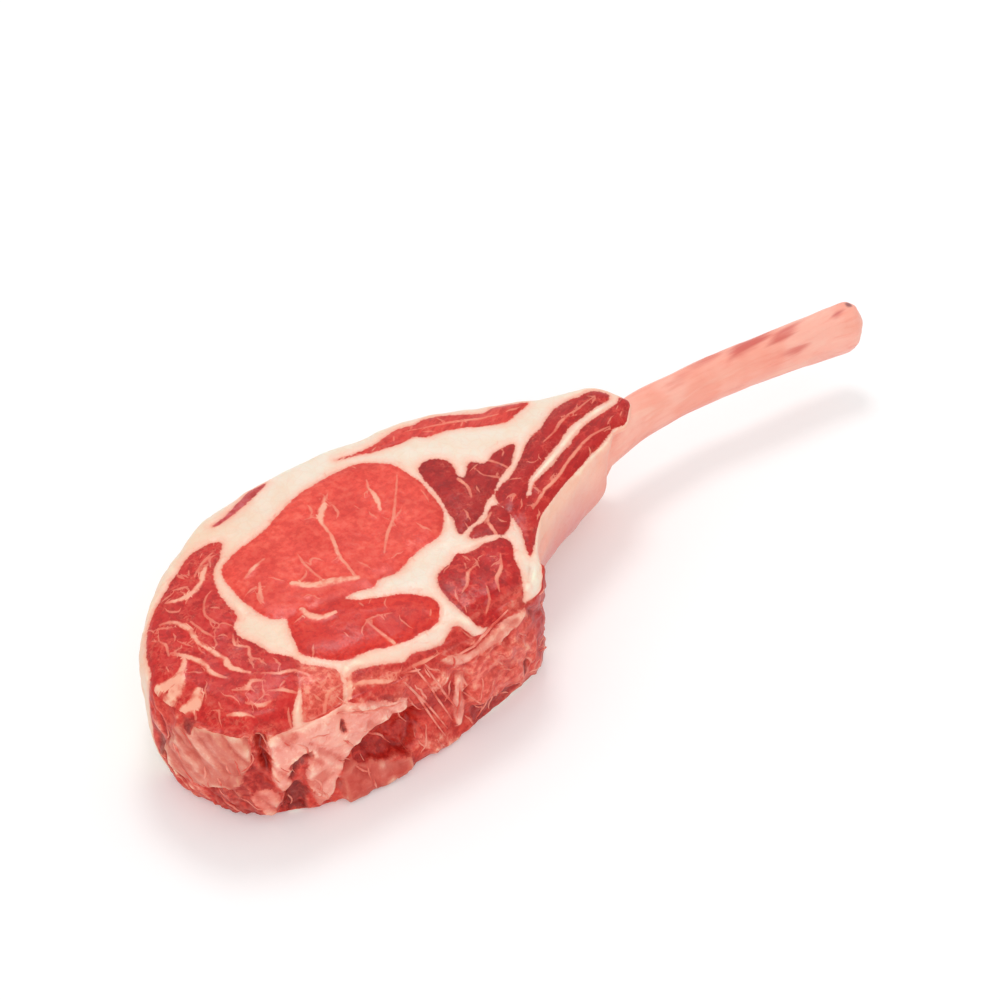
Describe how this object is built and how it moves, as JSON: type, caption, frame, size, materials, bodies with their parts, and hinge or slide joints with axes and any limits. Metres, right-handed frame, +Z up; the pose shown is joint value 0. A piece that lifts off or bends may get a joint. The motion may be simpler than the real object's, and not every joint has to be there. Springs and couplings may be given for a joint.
{
  "type": "raw single-bone beef rib roast",
  "caption": "Thick slab of raw marbled beef rib lying on its cut face, with a long bare rib bone standing out of one end.",
  "frame": {"origin": "on the flat underside of the meat, below the middle of the slab", "axes": "+X along the rib towards its bare end, +Y towards the fat cap on the outer side, +Z up out of the shown cut face"},
  "size_m": [0.3765, 0.1244, 0.058],
  "materials": {
    "raw_meat": "moist raw beef with cream fat, soft uneven gloss",
    "rib_bone": "scraped pale pink bone, satin"
  },
  "bodies": {
    "root": {"meat": "raw_meat", "rib_bone": "rib_bone"}
  },
  "joints": []
}
